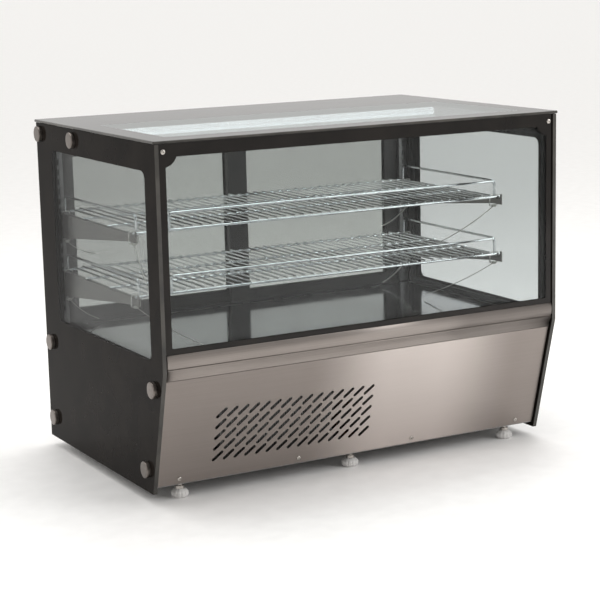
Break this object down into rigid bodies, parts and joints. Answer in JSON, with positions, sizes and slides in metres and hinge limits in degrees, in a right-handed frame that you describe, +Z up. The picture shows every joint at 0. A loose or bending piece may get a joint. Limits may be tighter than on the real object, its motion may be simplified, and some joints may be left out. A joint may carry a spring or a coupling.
{
  "type": "refrigerated_display_case",
  "caption": "Countertop refrigerated bakery display case: glass box on a stainless steel base, two wire shelves with guard rails, sliding rear doors and levelling feet",
  "frame": {"origin": "on the surface the case stands on, under the middle of its box", "axes": "+X to the right seen from the front, the front faces -Y, +Z up"},
  "size_m": [0.89, 0.58, 0.68],
  "materials": {
    "clear_glass": "clear with printed dark borders",
    "black_seal": "matt bead",
    "satin_caps": "satin turned",
    "bright_steel": "bright",
    "dark_frame": "dark anodised",
    "brushed_stainless": "fine brushed",
    "zinc_sheet": "zinc coated",
    "foam_plastic": "matt skin",
    "chrome_wire": "bright plated",
    "black_plastic": "fine moulded grain",
    "grey_plastic": "moulded",
    "green_plastic": "polished",
    "lamp_glass": "opal",
    "black_enamel": "gloss enamel",
    "aluminium_fins": "mill",
    "copper_pipe": "drawn copper",
    "nylon_ties": "translucent nylon"
  },
  "bodies": {
    "root": {"top_glass": "clear_glass", "top_seal": "black_seal", "front_glass": "clear_glass", "front_inner_pane": "clear_glass", "glazing_spacers": "black_seal", "left_side_glass": "clear_glass", "right_side_glass": "clear_glass", "left_inner_pane": "clear_glass", "right_inner_pane": "clear_glass", "disc_caps": "satin_caps", "glass_screws": "bright_steel", "top_frame": "dark_frame", "upper_track": "dark_frame", "lower_track": "dark_frame", "left_rear_column": "dark_frame", "right_rear_column": "dark_frame", "front_trim": "brushed_stainless", "front_panel": "brushed_stainless", "panel_screws": "bright_steel", "base_pan": "zinc_sheet", "insulated_floor": "foam_plastic", "floor_deck": "brushed_stainless", "left_upright": "zinc_sheet", "right_upright": "zinc_sheet", "upper_left_bracket": "zinc_sheet", "upper_right_bracket": "zinc_sheet", "lower_left_bracket": "zinc_sheet", "lower_right_bracket": "zinc_sheet", "upper_shelf": "chrome_wire", "lower_shelf": "chrome_wire", "shelf_ties": "nylon_ties", "lamp_holders": "black_plastic", "lamp_tube": "lamp_glass", "service_panel": "zinc_sheet", "controller": "black_plastic", "switch_bezels": "black_plastic", "cable_gland": "black_plastic", "compressor": "black_enamel", "condenser": "aluminium_fins", "condenser_fan_frame": "black_plastic", "evaporator": "aluminium_fins", "evaporator_fan_frame": "black_plastic", "refrigerant_pipes": "copper_pipe"},
    "left_door": {"left_door_frame": "black_plastic", "left_door_glass": "clear_glass"},
    "right_door": {"right_door_frame": "black_plastic", "right_door_glass": "clear_glass"},
    "condenser_fan": {"condenser_fan_blade": "aluminium_fins"},
    "evaporator_fan": {"evaporator_fan_blade": "grey_plastic"},
    "power_switch": {"power_rocker": "green_plastic"},
    "light_switch": {"light_rocker": "black_plastic"},
    "set_key": {"set_button": "grey_plastic"},
    "up_key": {"up_button": "grey_plastic"},
    "down_key": {"down_button": "grey_plastic"},
    "foot_fl": {"front_left_foot": "grey_plastic"},
    "foot_fm": {"front_middle_foot": "grey_plastic"},
    "foot_fr": {"front_right_foot": "grey_plastic"},
    "foot_rl": {"rear_left_foot": "grey_plastic"},
    "foot_rm": {"rear_middle_foot": "grey_plastic"},
    "foot_rr": {"rear_right_foot": "grey_plastic"}
  },
  "joints": [
    {"name": "left_door_slide", "type": "slide", "parent": "root", "child": "left_door", "axis": [1, 0, 0], "range_m": [0, 0.387]},
    {"name": "right_door_slide", "type": "slide", "parent": "root", "child": "right_door", "axis": [1, 0, 0], "range_m": [-0.387, 0]},
    {"name": "condenser_fan_spin", "type": "hinge", "parent": "root", "child": "condenser_fan", "pos_m": [-0.16, -0.142, 0.116], "axis": [0, 1, 0], "continuous": true},
    {"name": "evaporator_fan_spin", "type": "hinge", "parent": "root", "child": "evaporator_fan", "pos_m": [0.231, -0.032, 0.117], "axis": [0, 1, 0], "continuous": true},
    {"name": "power_rocker_tilt", "type": "hinge", "parent": "root", "child": "power_switch", "pos_m": [-0.215, 0.282, 0.16], "axis": [-1, 0, 0], "range_deg": [0, 14]},
    {"name": "light_rocker_tilt", "type": "hinge", "parent": "root", "child": "light_switch", "pos_m": [-0.18, 0.282, 0.16], "axis": [-1, 0, 0], "range_deg": [0, 14]},
    {"name": "set_button_press", "type": "slide", "parent": "root", "child": "set_key", "axis": [0, -1, 0], "range_m": [0, 0.0012], "stiffness_N_per_m": 300},
    {"name": "up_button_press", "type": "slide", "parent": "root", "child": "up_key", "axis": [0, -1, 0], "range_m": [0, 0.0012], "stiffness_N_per_m": 300},
    {"name": "down_button_press", "type": "slide", "parent": "root", "child": "down_key", "axis": [0, -1, 0], "range_m": [0, 0.0012], "stiffness_N_per_m": 300},
    {"name": "front_left_foot_turn", "type": "hinge", "parent": "root", "child": "foot_fl", "pos_m": [-0.372, -0.2, 0], "axis": [0, 0, 1], "continuous": true},
    {"name": "front_middle_foot_turn", "type": "hinge", "parent": "root", "child": "foot_fm", "pos_m": [0, -0.2, 0], "axis": [0, 0, 1], "continuous": true},
    {"name": "front_right_foot_turn", "type": "hinge", "parent": "root", "child": "foot_fr", "pos_m": [0.372, -0.2, 0], "axis": [0, 0, 1], "continuous": true},
    {"name": "rear_left_foot_turn", "type": "hinge", "parent": "root", "child": "foot_rl", "pos_m": [-0.372, 0.242, 0], "axis": [0, 0, 1], "continuous": true},
    {"name": "rear_middle_foot_turn", "type": "hinge", "parent": "root", "child": "foot_rm", "pos_m": [0, 0.242, 0], "axis": [0, 0, 1], "continuous": true},
    {"name": "rear_right_foot_turn", "type": "hinge", "parent": "root", "child": "foot_rr", "pos_m": [0.372, 0.242, 0], "axis": [0, 0, 1], "continuous": true}
  ]
}
